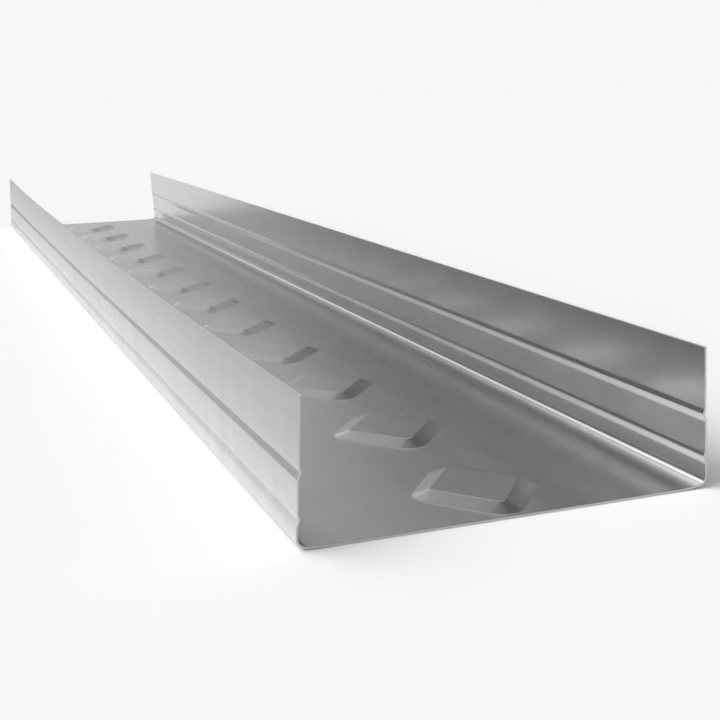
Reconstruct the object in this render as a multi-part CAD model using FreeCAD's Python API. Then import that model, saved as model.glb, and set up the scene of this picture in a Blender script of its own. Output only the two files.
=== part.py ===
import FreeCAD, Part
import math
import os

# Drywall track: one length of roll-formed galvanised steel channel, lying on its web.
# X runs across the web, Y along the track, Z up. The origin is the middle of the underside.

# Channel
LENGTH = 609.6
STUD_WIDTH = 92.1
STUD_ROOM = 1.6
FLANGE_HEIGHT = 31.75
SHEET = 0.46
BEND_RADIUS = 2.0
TOE_IN = 1.0

# Beads rolled along each flange: shallow grooves outside, ridges inside
LOWER_BEAD_HEIGHT = 6.6
UPPER_BEAD_HEIGHT = 16.2
BEAD_DEPTH = 0.45
BEAD_RETURN = 0.25
BEAD_LOWER_SIDE = 1.3
BEAD_UPPER_SIDE = 1.0
BEAD_VALLEY_RADIUS = 0.3
BEAD_SHOULDER_RADIUS = 2.0

# Diamond pads pressed up along the middle of the web
PAD_PITCH = 50.8
PAD_END_GAP = 1.4
PAD_TOP_ACROSS = 22.0
PAD_TOP_ALONG = 28.0
PAD_TOP_RADIUS = 1.2
PAD_FLANK = 3.9
PAD_RISE = 1.5


def rounded_edges(corners, radii):
    """Straight runs from corner to corner, with a tangent arc of its own radius at each inner corner."""
    edges = []
    start = corners[0]
    for before, corner, after, radius in zip(corners, corners[1:], corners[2:], radii):
        back = (before - corner).normalize()
        ahead = (after - corner).normalize()
        half_angle = back.getAngle(ahead) / 2
        reach = radius / math.tan(half_angle)
        arc_start = corner + back * reach
        arc_end = corner + ahead * reach
        inward = (back + ahead).normalize()
        arc_middle = corner + inward * (radius / math.sin(half_angle) - radius)
        edges.append(Part.makeLine(start, arc_start))
        edges.append(Part.Arc(arc_start, arc_middle, arc_end).toShape())
        start = arc_end
    edges.append(Part.makeLine(start, corners[-1]))
    return edges


def flange_line():
    """Height and offset from the web's edge of each corner of a flange's outer face, from the bend up."""
    corners = []
    offset = 0.0
    for valley in (LOWER_BEAD_HEIGHT, UPPER_BEAD_HEIGHT):
        corners.append((valley - BEAD_LOWER_SIDE, offset))
        offset -= BEAD_DEPTH
        corners.append((valley, offset))
        offset += BEAD_RETURN
        corners.append((valley + BEAD_UPPER_SIDE, offset))
    corners.append((FLANGE_HEIGHT, offset))
    lean = TOE_IN / FLANGE_HEIGHT
    return [(height, offset - lean * height) for height, offset in corners]


def channel():
    """The sheet's outer line from one flange edge to the other, thickened inwards and run the length."""
    half_width = (STUD_WIDTH + STUD_ROOM) / 2 + SHEET
    near_end = -LENGTH / 2
    right = [FreeCAD.Vector(half_width, near_end, 0)]
    right += [FreeCAD.Vector(half_width + offset, near_end, height) for height, offset in flange_line()]
    left = [FreeCAD.Vector(-corner.x, corner.y, corner.z) for corner in reversed(right)]
    beads = [BEAD_SHOULDER_RADIUS, BEAD_VALLEY_RADIUS, BEAD_SHOULDER_RADIUS] * 2
    bends = [BEND_RADIUS + SHEET] * 2
    outer_line = Part.Wire(rounded_edges(left + right, beads + bends + beads))
    section = outer_line.makeOffset2D(SHEET, join=0, fill=True, openResult=True)
    return section.extrude(FreeCAD.Vector(0, LENGTH, 0))


def foot_size():
    """Corner-to-corner sizes of a pad's foot, which is its flat top grown by the flank on every side."""
    side = math.hypot(PAD_TOP_ACROSS, PAD_TOP_ALONG)
    across = PAD_TOP_ACROSS + 2 * PAD_FLANK * side / PAD_TOP_ALONG
    along = PAD_TOP_ALONG + 2 * PAD_FLANK * side / PAD_TOP_ACROSS
    return across, along


def diamond(across, along, middle, height):
    """The corners of a level rhombus, in order."""
    return [
        FreeCAD.Vector(across / 2, middle, height),
        FreeCAD.Vector(0, middle + along / 2, height),
        FreeCAD.Vector(-across / 2, middle, height),
        FreeCAD.Vector(0, middle - along / 2, height),
    ]


def pad_block(middle, floor):
    """A pad as a solid: rounded at its corners, sloped on all sides, and sunk a little below the floor."""
    foot = diamond(*foot_size(), middle, floor - SHEET / 2)
    block = Part.Face(Part.makePolygon(foot + foot[:1])).extrude(FreeCAD.Vector(0, 0, PAD_RISE + SHEET / 2))
    posts = [edge for edge in block.Edges if edge.BoundBox.ZLength > PAD_RISE / 2]
    block = block.makeFillet(PAD_TOP_RADIUS + PAD_FLANK, posts)
    rim = [edge for edge in block.Edges if edge.BoundBox.ZMin > floor + PAD_RISE / 2]
    return block.makeChamfer(PAD_RISE, PAD_FLANK, rim)


def pad_length():
    """A pad's length along the track, over the rounded corners of its foot."""
    side = math.hypot(PAD_TOP_ACROSS, PAD_TOP_ALONG)
    rounded_off = PAD_TOP_RADIUS * (side / PAD_TOP_ACROSS - 1)
    return PAD_TOP_ALONG - 2 * rounded_off + 2 * PAD_FLANK


def pad_middles():
    """Where the pads sit along the track: whole pads only, the first just inside the near end."""
    first = PAD_END_GAP + pad_length() / 2
    count = int((LENGTH - PAD_END_GAP - pad_length()) // PAD_PITCH) + 1
    return [first + index * PAD_PITCH - LENGTH / 2 for index in range(count)]


def track():
    """The channel with its row of pads, raised inside and hollow beneath."""
    middles = pad_middles()
    raised = channel().fuse([pad_block(middle, SHEET) for middle in middles])
    pressed = raised.cut([pad_block(middle, 0) for middle in middles])
    return pressed.removeSplitter()


os.makedirs("parts", exist_ok=True)
track().exportStep("parts/track.step")
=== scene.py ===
from math import atan2, cos, hypot, pi, radians, sin, tan

import bmesh
import bpy
from mathutils import Matrix, Vector


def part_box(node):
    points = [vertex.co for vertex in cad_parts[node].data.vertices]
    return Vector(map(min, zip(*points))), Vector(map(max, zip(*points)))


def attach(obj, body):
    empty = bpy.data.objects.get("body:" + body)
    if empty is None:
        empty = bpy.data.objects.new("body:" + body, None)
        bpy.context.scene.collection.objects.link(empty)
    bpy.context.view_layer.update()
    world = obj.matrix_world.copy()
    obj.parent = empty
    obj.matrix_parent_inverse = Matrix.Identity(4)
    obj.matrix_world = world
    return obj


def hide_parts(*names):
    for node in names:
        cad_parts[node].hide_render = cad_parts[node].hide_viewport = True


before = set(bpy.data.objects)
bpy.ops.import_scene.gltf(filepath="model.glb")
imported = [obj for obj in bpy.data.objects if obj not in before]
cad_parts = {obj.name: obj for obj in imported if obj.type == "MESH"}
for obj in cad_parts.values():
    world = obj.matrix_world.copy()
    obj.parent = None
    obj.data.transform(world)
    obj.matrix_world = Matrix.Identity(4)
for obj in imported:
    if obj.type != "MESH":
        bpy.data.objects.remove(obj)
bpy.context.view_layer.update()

# Track sheet: one strip of galvanised steel, cold roll-formed into a channel that lies on its web.
# Rolls set two beads into each flange, press diamond pads up through the web and dish it at the bends.
# Nothing is fixed to it. Both ends are sheared square, and one flange springs out a little.
MM = 0.001
track_low, track_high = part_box("track")
TRACK_LENGTH = track_high.y - track_low.y
FLANGE_HEIGHT = track_high.z - track_low.z
SHEET = 0.46 * MM
HALF_WIDTH = 47.31 * MM
BEND_RADIUS = 2.3 * MM
DISH_WIDTH = 7.0 * MM
DISH_RISE = 0.5 * MM
DISH_RADIUS = 100.0 * MM
TOE_IN = 1.3 * MM
CUT_CHAMFER = 0.06 * MM

RIGHT_BEADS = (7.3 * MM, 16.9 * MM)
LEFT_BEADS = (6.4 * MM, 16.1 * MM)
BEAD_DEPTH = 0.52 * MM
BEAD_RETURN = 0.34 * MM
BEAD_LOWER_SIDE = 1.6 * MM
BEAD_UPPER_SIDE = 0.9 * MM
BEAD_VALLEY_RADIUS = 0.3 * MM
BEAD_SHOULDER_RADIUS = 2.5 * MM

PAD_PITCH = 50.8 * MM
PAD_MIDDLE = 18.56 * MM
PAD_TOP_ACROSS = 22.0 * MM
PAD_TOP_ALONG = 28.0 * MM
PAD_TOP_RADIUS = 1.2 * MM
PAD_FLANK = 3.9 * MM
PAD_RISE = 1.5 * MM
PAD_BRIM_RADIUS = 1.2 * MM
PAD_FOOT_RADIUS = 2.0 * MM

LONG_RUN = 3.0 * MM
RUN_MARGIN = 0.4 * MM
ROWS_PER_PAD = 8
WEB_STRIPS = 14
DISH_STEPS = 6
BEND_STEPS = 12
BEAD_STEPS = 6
PAD_CORNER_STEPS = 8
PAD_SIDE_STEPS = 4
PAD_EDGE_STEPS = 5


def rounded_line(corners, radii, steps):
    """Points along straight runs, with an arc of its own radius at each inner corner."""
    points = [corners[0]]
    for before, corner, after, radius, count in zip(corners, corners[1:], corners[2:], radii, steps):
        back = (before - corner).normalized()
        ahead = (after - corner).normalized()
        half_angle = back.angle(ahead) / 2
        reach = radius / tan(half_angle)
        centre = corner + (back + ahead).normalized() * (radius / sin(half_angle))
        first = corner + back * reach - centre
        last = corner + ahead * reach - centre
        points += [centre + radius * first.slerp(last, index / count) for index in range(count + 1)]
    return points + [corners[-1]]


def with_margins(points):
    """The same line with a point close inside each end of a long run, so that the run shades flat."""
    line = []
    for start, end in zip(points, points[1:]):
        line.append(start)
        if (end - start).length > LONG_RUN:
            margin = (end - start).normalized() * RUN_MARGIN
            line += [start + margin, end - margin]
    return line + [points[-1]]


def flange_section(bead_heights):
    """Outer face of a flange in section, from the flat web beside the bend to the free edge."""
    corners = [(0, 0), (HALF_WIDTH - DISH_WIDTH, 0), (HALF_WIDTH, DISH_RISE)]
    radii = [DISH_RADIUS, BEND_RADIUS]
    steps = [DISH_STEPS, BEND_STEPS]
    face = HALF_WIDTH
    for valley in bead_heights:
        corners.append((face, valley - BEAD_LOWER_SIDE))
        corners.append((face - BEAD_DEPTH, valley))
        face += BEAD_RETURN - BEAD_DEPTH
        corners.append((face, valley + BEAD_UPPER_SIDE))
        radii += [BEAD_SHOULDER_RADIUS, BEAD_VALLEY_RADIUS, BEAD_SHOULDER_RADIUS]
        steps += [BEAD_STEPS] * 3
    corners.append((face, FLANGE_HEIGHT))
    lean = TOE_IN / FLANGE_HEIGHT
    leaning = [Vector((across - lean * height, height)) for across, height in corners]
    return with_margins(rounded_line(leaning, radii, steps))[2:]


def pad_ring(sheet, reach, height):
    """A closed ring of points round a pad, set out by reach from the edge of its flat top."""
    half_across = PAD_TOP_ACROSS / 2
    half_along = PAD_TOP_ALONG / 2
    side = hypot(half_across, half_along)
    tilt = atan2(half_across, half_along)
    apex_across = half_across - PAD_TOP_RADIUS * side / half_along
    apex_along = half_along - PAD_TOP_RADIUS * side / half_across
    apexes = (
        (apex_across, 0, -tilt, tilt),
        (0, apex_along, tilt, pi - tilt),
        (-apex_across, 0, pi - tilt, pi + tilt),
        (0, -apex_along, pi + tilt, 2 * pi - tilt),
    )
    radius = PAD_TOP_RADIUS + reach
    arcs = []
    for across, along, start, end in apexes:
        middle = Vector((across, PAD_MIDDLE + along, height))
        arc = []
        for index in range(PAD_CORNER_STEPS + 1):
            turn = start + (end - start) * index / PAD_CORNER_STEPS
            arc.append(middle + radius * Vector((cos(turn), sin(turn), 0)))
        arcs.append(arc)
    points = []
    for arc, next_arc in zip(arcs, arcs[1:] + arcs[:1]):
        shares = [index / PAD_SIDE_STEPS for index in range(1, PAD_SIDE_STEPS)]
        points += arc + [arc[-1].lerp(next_arc[0], share) for share in shares]
    return [sheet.verts.new(point) for point in points]


def pad_profile():
    """Reach and height of each ring of a pad, from its flat top over the flank to the flat web."""
    slope = atan2(PAD_RISE, PAD_FLANK)
    brim = PAD_BRIM_RADIUS * tan(slope / 2)
    foot = PAD_FLANK + PAD_FOOT_RADIUS * tan(slope / 2)
    turns = [slope * index / PAD_EDGE_STEPS for index in range(PAD_EDGE_STEPS + 1)]
    profile = [(-brim - RUN_MARGIN, PAD_RISE)]
    for turn in turns:
        drop = PAD_BRIM_RADIUS * (1 - cos(turn))
        profile.append((PAD_BRIM_RADIUS * sin(turn) - brim, PAD_RISE - drop))
    for turn in reversed(turns):
        lift = PAD_FOOT_RADIUS * (1 - cos(turn))
        profile.append((foot - PAD_FOOT_RADIUS * sin(turn), lift))
    profile.append((foot + RUN_MARGIN, 0))
    return profile


def one_pitch_of_sheet():
    """Underside of the sheet over one pitch of the pads: both flanges, one pad and the web between."""
    sheet = bmesh.new()
    rows = [index * PAD_PITCH / ROWS_PER_PAD for index in range(ROWS_PER_PAD + 1)]
    web_edges = []
    rim = []
    for side, beads in ((1, RIGHT_BEADS), (-1, LEFT_BEADS)):
        section = flange_section(beads)
        strips = [[sheet.verts.new((side * point.x, row, point.y)) for row in rows] for point in section]
        for inner, outer in zip(strips, strips[1:]):
            for index in range(ROWS_PER_PAD):
                sheet.faces.new((inner[index], inner[index + 1], outer[index + 1], outer[index]))
        web_edges.append(strips[0])
        rim += [sheet.edges.get(pair) for pair in zip(strips[0], strips[0][1:])]
    right, left = web_edges
    for end in (0, ROWS_PER_PAD):
        places = [left[end].co.lerp(right[end].co, index / WEB_STRIPS) for index in range(1, WEB_STRIPS)]
        across = [left[end]] + [sheet.verts.new(place) for place in places] + [right[end]]
        rim += [sheet.edges.new(pair) for pair in zip(across, across[1:])]
    rings = [pad_ring(sheet, reach, height) for reach, height in pad_profile()]
    pad_top = sheet.faces.new(rings[0])
    for inner, outer in zip(rings, rings[1:]):
        for index in range(len(inner)):
            sheet.faces.new((inner[index - 1], inner[index], outer[index], outer[index - 1]))
    foot = rings[-1]
    rim += [sheet.edges.get((foot[index - 1], foot[index])) for index in range(len(foot))]
    bmesh.ops.triangle_fill(sheet, use_beauty=True, edges=rim)
    bmesh.ops.recalc_face_normals(sheet, faces=sheet.faces)
    if pad_top.normal.z > 0:
        bmesh.ops.reverse_faces(sheet, faces=sheet.faces)
    mesh = bpy.data.meshes.new("track_sheet")
    sheet.to_mesh(mesh)
    sheet.free()
    return mesh


def add_node(tree, kind, inputs=None, **settings):
    """A node with its settings. Each input is a plain value, an output, or a node for its first output."""
    node = tree.nodes.new(kind)
    for name, value in settings.items():
        setattr(node, name, value)
    for name, value in (inputs or {}).items():
        source = value.outputs[0] if isinstance(value, bpy.types.Node) else value
        if isinstance(source, bpy.types.NodeSocket):
            tree.links.new(source, node.inputs[name])
        else:
            node.inputs[name].default_value = source
    return node


def linear(hex_colour, alpha=1.0):
    """An sRGB hex colour as linear values."""
    decoded = []
    for start in (1, 3, 5):
        value = int(hex_colour[start:start + 2], 16) / 255
        decoded.append(value / 12.92 if value <= 0.04045 else ((value + 0.055) / 1.055) ** 2.4)
    return (*decoded, alpha)


# Zinc: the coat on every rolled face. Its mottle, its streaks along the rolling and its faint waves
# keep what it mirrors from being clean.
STREAK_WIDTH = 1.5 * MM
STREAK_LENGTH = 60 * MM
STREAK_RANGE = (0.3, 0.7)
WAVE_SIZE = 25 * MM
WAVE_DEPTH = 0.03 * MM


def zinc_coat(name, pale, dull, mottle_size, smooth, rough):
    """Zinc on sheet steel: mottled between two greys, streaked along the rolling and faintly waved."""
    material = bpy.data.materials.new(name)
    material.use_nodes = True
    tree = material.node_tree
    shader = tree.nodes["Principled BSDF"]
    shader.inputs["Metallic"].default_value = 1.0
    place = add_node(tree, "ShaderNodeTexCoord").outputs["Object"]
    mottle_scale = [1 / size for size in mottle_size]
    patches = add_node(tree, "ShaderNodeMapping", {"Vector": place, "Scale": mottle_scale})
    patchy = {"Vector": patches, "Scale": 1.0, "Detail": 5.0, "Roughness": 0.7}
    mottle = add_node(tree, "ShaderNodeTexNoise", patchy)
    shades = {"Factor": mottle, "A": linear(dull), "B": linear(pale)}
    zinc = add_node(tree, "ShaderNodeMix", shades, data_type="RGBA")
    tree.links.new(zinc.outputs["Result"], shader.inputs["Base Color"])
    streak_scale = (1 / STREAK_WIDTH, 1 / STREAK_LENGTH, 1 / STREAK_WIDTH)
    along_roll = add_node(tree, "ShaderNodeMapping", {"Vector": place, "Scale": streak_scale})
    streaks = add_node(tree, "ShaderNodeTexNoise", {"Vector": along_roll, "Scale": 1.0, "Detail": 2.0})
    faint, strong = STREAK_RANGE
    limits = {"Value": streaks, "From Min": faint, "From Max": strong, "To Min": smooth, "To Max": rough}
    roughness = add_node(tree, "ShaderNodeMapRange", limits)
    tree.links.new(roughness.outputs["Result"], shader.inputs["Roughness"])
    waves = add_node(tree, "ShaderNodeTexNoise", {"Vector": place, "Scale": 1 / WAVE_SIZE, "Detail": 1.0})
    bump = add_node(tree, "ShaderNodeBump", {"Height": waves, "Strength": 1.0, "Distance": WAVE_DEPTH})
    tree.links.new(bump.outputs["Normal"], shader.inputs["Normal"])
    return material


# Hot-dip galvanised steel, skin-passed: a grey mirror that is slightly blurred.
SPANGLE_PATCH = (14 * MM, 14 * MM, 14 * MM)
galvanised_steel = zinc_coat(
    "galvanised_steel_hot_dip", pale="#D4D4D4", dull="#C2C2C2",
    mottle_size=SPANGLE_PATCH, smooth=0.24, rough=0.27,
)

# The same zinc outside, rougher so that it blurs what it mirrors more; its grey is painted shade, paler at
# the foot and darker towards the free edge.
EDGE_SHADE_GREY = "#A6A6A6"
EDGE_SHADE_SHARE = 0.9
WIPE_MARK = (40 * MM, 9 * MM, 40 * MM)
outside_steel_painted_shade = zinc_coat(
    "galvanised_steel_outside_painted_shade", pale="#ECECEC", dull="#C6C6C6",
    mottle_size=WIPE_MARK, smooth=0.3, rough=0.36,
)
# Painted shade: the outside grey darkens with height, from the foot up to the free edge.
tree = outside_steel_painted_shade.node_tree
base_colour = tree.nodes["Principled BSDF"].inputs["Base Color"]
place = add_node(tree, "ShaderNodeTexCoord").outputs["Object"]
height = add_node(tree, "ShaderNodeSeparateXYZ", {0: place}).outputs["Z"]
shade_range = {"Value": height, "From Max": FLANGE_HEIGHT, "To Max": EDGE_SHADE_SHARE}
shade_by_height = add_node(tree, "ShaderNodeMapRange", shade_range)
shades = {"Factor": shade_by_height, "A": base_colour.links[0].from_socket, "B": linear(EDGE_SHADE_GREY)}
shaded_outside = add_node(tree, "ShaderNodeMix", shades, data_type="RGBA")
tree.links.new(shaded_outside.outputs["Result"], base_colour)

# Zinc in the upper groove outside, darker and rougher: a dark line of painted shade along the groove.
groove_steel_painted_shade = zinc_coat(
    "galvanised_steel_groove_painted_shade", pale="#B6B6B6", dull="#A6A6A6",
    mottle_size=WIPE_MARK, smooth=0.36, rough=0.42,
)

# Sheared steel: the bare cut edge, half burnished and half torn, a little darker and duller than the zinc.
BARE_STEEL = "#C0C0C0"
TORN_ROUGHNESS = 0.4
cut_steel = bpy.data.materials.new("cut_steel_sheared")
cut_steel.use_nodes = True
shader = cut_steel.node_tree.nodes["Principled BSDF"]
shader.inputs["Metallic"].default_value = 1.0
shader.inputs["Base Color"].default_value = linear(BARE_STEEL)
shader.inputs["Roughness"].default_value = TORN_ROUGHNESS

# The rolling repeats: one pitch of the sheet is laid end to end along the track and merged at the seams.
# The left flange's free edge then springs outwards, most of all at mid length.
FLANGE_BOW = 3.7 * MM
BOW_POWER = 1.5
SEAM = 0.02 * MM
LEFT_FLANGE = -0.8 * HALF_WIDTH
ROLLING_INPUTS = (
    ("Pitch", "NodeSocketFloat", PAD_PITCH),
    ("Length", "NodeSocketFloat", TRACK_LENGTH),
    ("Pads", "NodeSocketInt", round(TRACK_LENGTH / PAD_PITCH)),
    ("Seam", "NodeSocketFloat", SEAM),
    ("Left Flange", "NodeSocketFloat", LEFT_FLANGE),
    ("Flange Height", "NodeSocketFloat", FLANGE_HEIGHT),
    ("Flange Bow", "NodeSocketFloat", FLANGE_BOW),
    ("Material", "NodeSocketMaterial", galvanised_steel),
)

rolling = bpy.data.node_groups.new("track_rolling", "GeometryNodeTree")
rolling.interface.new_socket("Geometry", in_out="INPUT", socket_type="NodeSocketGeometry")
identifiers = []
for name, kind, value in ROLLING_INPUTS:
    identifiers.append(rolling.interface.new_socket(name, in_out="INPUT", socket_type=kind).identifier)
rolling.interface.new_socket("Geometry", in_out="OUTPUT", socket_type="NodeSocketGeometry")
given = add_node(rolling, "NodeGroupInput").outputs
step = add_node(rolling, "ShaderNodeCombineXYZ", {"Y": given["Pitch"]})
near_end = add_node(rolling, "ShaderNodeMath", {0: given["Length"], 1: -0.5}, operation="MULTIPLY")
start = add_node(rolling, "ShaderNodeCombineXYZ", {"Y": near_end})
row = {"Count": given["Pads"], "Start Location": start, "Offset": step}
seats = add_node(rolling, "GeometryNodeMeshLine", row)
lengths = add_node(rolling, "GeometryNodeInstanceOnPoints", {"Points": seats, "Instance": given["Geometry"]})
strip = add_node(rolling, "GeometryNodeRealizeInstances", {"Geometry": lengths})
welded = add_node(rolling, "GeometryNodeMergeByDistance", {"Geometry": strip, "Distance": given["Seam"]})
point = add_node(rolling, "GeometryNodeInputPosition")
axis = add_node(rolling, "ShaderNodeSeparateXYZ", {0: point}).outputs
from_middle = add_node(rolling, "ShaderNodeMath", {0: axis["Y"], 1: near_end}, operation="DIVIDE")
squared = add_node(rolling, "ShaderNodeMath", {0: from_middle, 1: 2.0}, operation="POWER")
arch = add_node(rolling, "ShaderNodeMath", {0: 1.0, 1: squared}, operation="SUBTRACT", use_clamp=True)
climb = {0: axis["Z"], 1: given["Flange Height"]}
up = add_node(rolling, "ShaderNodeMath", climb, operation="DIVIDE", use_clamp=True)
rising = add_node(rolling, "ShaderNodeMath", {0: up, 1: BOW_POWER}, operation="POWER")
on_left = add_node(rolling, "ShaderNodeMath", {0: axis["X"], 1: given["Left Flange"]}, operation="LESS_THAN")
bow = add_node(rolling, "ShaderNodeMath", {0: arch, 1: rising}, operation="MULTIPLY")
bow_left = add_node(rolling, "ShaderNodeMath", {0: bow, 1: on_left}, operation="MULTIPLY")
outward = add_node(rolling, "ShaderNodeMath", {0: given["Flange Bow"], 1: -1.0}, operation="MULTIPLY")
spring = add_node(rolling, "ShaderNodeMath", {0: bow_left, 1: outward}, operation="MULTIPLY")
shift = add_node(rolling, "ShaderNodeCombineXYZ", {"X": spring})
sprung = add_node(rolling, "GeometryNodeSetPosition", {"Geometry": welded, "Offset": shift})
coated = add_node(rolling, "GeometryNodeSetMaterial", {"Geometry": sprung, "Material": given["Material"]})
add_node(rolling, "NodeGroupOutput", {"Geometry": coated})

CUT_ANGLE = radians(60)
track_sheet = bpy.data.objects.new("track_sheet", one_pitch_of_sheet())
bpy.context.scene.collection.objects.link(track_sheet)
repeat = track_sheet.modifiers.new("rolling", "NODES")
repeat.node_group = rolling
for identifier, (name, kind, value) in zip(identifiers, ROLLING_INPUTS):
    repeat[identifier] = value
gauge = track_sheet.modifiers.new("gauge", "SOLIDIFY")
gauge.thickness = SHEET
gauge.offset = -1
gauge.use_even_offset = True
gauge.use_quality_normals = True
burr = track_sheet.modifiers.new("sheared_edge", "BEVEL")
burr.width = CUT_CHAMFER
burr.segments = 1
burr.limit_method = "ANGLE"
burr.angle_limit = CUT_ANGLE
evaluated = track_sheet.evaluated_get(bpy.context.evaluated_depsgraph_get())
sheet_mesh = bpy.data.meshes.new_from_object(evaluated)
track_sheet.modifiers.clear()
track_sheet.data = sheet_mesh

# The finish of each face: the cuts are bare, the outside takes painted shade darkening towards its free
# edge, and its upper groove a dark line of painted shade.
CUT_FACING = 0.5
FREE_EDGE = 0.9 * FLANGE_HEIGHT
OUTSIDE = 0.3 * HALF_WIDTH
GROOVE_FACING = 0.2
UPPER_GROOVE = 0.3 * FLANGE_HEIGHT
SHARP_ANGLE = radians(30)
finishes = [galvanised_steel, cut_steel, outside_steel_painted_shade, groove_steel_painted_shade]
sheet_mesh.materials.clear()
for finish in finishes:
    sheet_mesh.materials.append(finish)
for face in sheet_mesh.polygons:
    at_end = abs(face.normal.y) > CUT_FACING
    at_free_edge = face.center.z > FREE_EDGE and face.normal.z > CUT_FACING
    outside = face.normal.x * face.center.x > OUTSIDE
    in_groove = outside and face.normal.z > GROOVE_FACING and face.center.z > UPPER_GROOVE
    if at_end or at_free_edge:
        finish = cut_steel
    elif in_groove:
        finish = groove_steel_painted_shade
    elif outside:
        finish = outside_steel_painted_shade
    else:
        finish = galvanised_steel
    face.material_index = finishes.index(finish)
sheet_mesh.shade_smooth()
sheet_mesh.set_sharp_from_angle(angle=SHARP_ANGLE)
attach(track_sheet, "root")
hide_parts("track")

# Studio floor: a wide sheet of matt white paper, laid flat just under the track.
# It runs out to a horizon of the same white, so that no edge of it shows.
FLOOR_WHITE = "#F8F8F8"
FLOOR_REACH = 6.0
FLOOR_DROP = 0.05 * MM
FLOOR_CORNERS = ((-1, -1), (1, -1), (1, 1), (-1, 1))
floor_mesh = bpy.data.meshes.new("floor")
corners = [(x * FLOOR_REACH, y * FLOOR_REACH, -FLOOR_DROP) for x, y in FLOOR_CORNERS]
floor_mesh.from_pydata(corners, [], [(0, 1, 2, 3)])
floor = bpy.data.objects.new("floor", floor_mesh)
bpy.context.scene.collection.objects.link(floor)
paper = bpy.data.materials.new("paper_matt_white")
paper.use_nodes = True
shader = paper.node_tree.nodes["Principled BSDF"]
shader.inputs["Base Color"].default_value = linear(FLOOR_WHITE)
shader.inputs["Roughness"].default_value = 1.0
shader.inputs["Specular IOR Level"].default_value = 0.0
floor_mesh.materials.append(paper)

# Light: a long soft box high along the left, in a studio with a pale wall behind the camera, a window
# beyond the far end, another at the back left, and dim sides. Each is a run of elevations in degrees with
# the light at each. Every wall is as white as the floor where they meet.
BACK_WALL = ((4, 0.93), (7, 0.6), (45, 0.6), (70, 0.3))
LEFT_WINDOW = ((4, 0.93), (7, 1.5), (40, 1.5), (55, 0.3))
LEFT_WALL = ((1.5, 0.93), (3, 0.12), (14, 0.12), (22, 0.18), (60, 0.2), (80, 0.3))
RIGHT_WALL = ((4, 0.93), (5.5, 0.1), (20, 0.1), (24, 0.12), (48, 0.12), (60, 0.15), (80, 0.3))
FAR_RIGHT_WALL = (
    (4, 0.93), (5.5, 0.1), (20, 0.1), (23, 0.6), (32, 0.6), (45, 0.5), (60, 0.15), (80, 0.3),
)
FAR_WALL = ((4, 0.93), (6, 0.55), (20, 0.55), (30, 0.42), (45, 0.5), (60, 0.15), (80, 0.3))
FAR_WINDOW = (
    (4, 0.93), (6, 0.52), (12, 0.52), (16, 1.1), (24, 1.1), (30, 0.42), (45, 0.5), (60, 0.15), (80, 0.3),
)
SOFT_BOX = ((23, 0.0), (38, 3.3), (63, 3.3), (79, 0.0))
# Each wall comes with the azimuths, in degrees right of the far end, where its two sides fade.
WALLS_ROUND = (
    (LEFT_WINDOW, (-150, -135), (-85, -75)),
    (LEFT_WALL, (-85, -75), (-1, 1)),
    (RIGHT_WALL, (-1, 1), (75, 100)),
    (FAR_RIGHT_WALL, (-1, 1), (27, 36)),
    (FAR_WALL, (-20, -15), (15, 25)),
    (FAR_WINDOW, (-18, -10), (3, 11)),
)
SOFT_BOX_FADES = ((-129, -95), (-35, 0))


def by_elevation(tree, height, levels):
    """The grey of a wall or lamp at each elevation in degrees."""
    ramp = add_node(tree, "ShaderNodeValToRGB", {"Fac": height})
    stops = ramp.color_ramp.elements
    while len(stops) < len(levels):
        stops.new(1.0)
    for stop, (elevation, level) in zip(stops, levels):
        stop.position = sin(radians(elevation))
        stop.color = (level, level, level, 1.0)
    return ramp


def by_azimuth(tree, azimuth, left_fade, right_fade):
    """One inside a sector of azimuth in degrees, fading to nothing at its two sides."""
    fades = []
    for (begin, end), (low, high) in ((left_fade, (0.0, 1.0)), (right_fade, (1.0, 0.0))):
        limits = {"From Min": radians(begin), "From Max": radians(end), "To Min": low, "To Max": high}
        limits["Value"] = azimuth
        fades.append(add_node(tree, "ShaderNodeMapRange", limits, interpolation_type="SMOOTHSTEP"))
    return add_node(tree, "ShaderNodeMath", {0: fades[0], 1: fades[1]}, operation="MULTIPLY")


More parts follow.
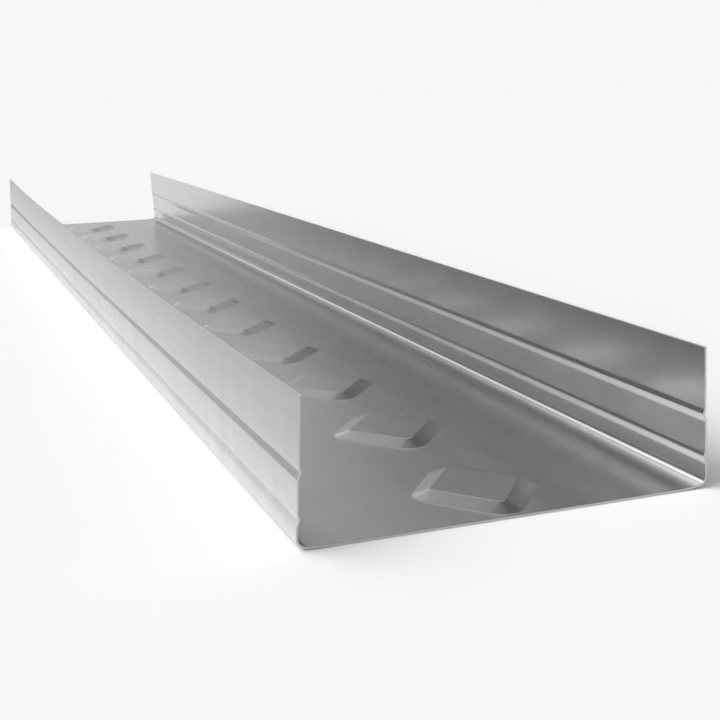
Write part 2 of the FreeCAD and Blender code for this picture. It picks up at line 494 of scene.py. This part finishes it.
world = bpy.data.worlds.new("studio")
bpy.context.scene.world = world
world.use_nodes = True
tree = world.node_tree
direction = add_node(tree, "ShaderNodeTexCoord").outputs["Generated"]
axis = add_node(tree, "ShaderNodeSeparateXYZ", {0: direction}).outputs
azimuth = add_node(tree, "ShaderNodeMath", {0: axis["X"], 1: axis["Y"]}, operation="ARCTAN2")
light = by_elevation(tree, axis["Z"], BACK_WALL)
for levels, left_fade, right_fade in WALLS_ROUND:
    sector = by_azimuth(tree, azimuth, left_fade, right_fade)
    shares = {"Factor": sector, "A": light, "B": by_elevation(tree, axis["Z"], levels)}
    light = add_node(tree, "ShaderNodeMix", shares, data_type="RGBA").outputs["Result"]
lamp = by_elevation(tree, axis["Z"], SOFT_BOX)
lamp_sector = by_azimuth(tree, azimuth, *SOFT_BOX_FADES)
shares = {0: lamp, 1: lamp_sector, 2: light}
studio = add_node(tree, "ShaderNodeVectorMath", shares, operation="MULTIPLY_ADD")
tree.links.new(studio.outputs["Vector"], tree.nodes["Background"].inputs["Color"])

# Camera: in front of the near end, a little to the left and above, as in the photograph.
# Its lens comes from the focal length in pixels of a square picture.
IMAGE_SIZE = 720
FOCAL_PIXELS = 1224.3
SENSOR_WIDTH = 36.0
CAMERA_PLACE = (-0.11187, -0.51804, 0.08870)
CAMERA_YAW = radians(20.256)
CAMERA_PITCH = radians(-12.869)
CAMERA_ROLL = radians(-1.259)
camera_data = bpy.data.cameras.new("camera")
camera_data.sensor_width = SENSOR_WIDTH
camera_data.lens = FOCAL_PIXELS / IMAGE_SIZE * SENSOR_WIDTH
camera_data.clip_start = 0.01
camera = bpy.data.objects.new("camera", camera_data)
bpy.context.scene.collection.objects.link(camera)
heading = Matrix.Rotation(-CAMERA_YAW, 4, "Z")
lift = Matrix.Rotation(pi / 2 + CAMERA_PITCH, 4, "X")
roll = Matrix.Rotation(CAMERA_ROLL, 4, "Z")
camera.matrix_world = Matrix.Translation(CAMERA_PLACE) @ (heading @ lift @ roll)
bpy.context.scene.camera = camera
bpy.context.scene.view_settings.view_transform = "Standard"
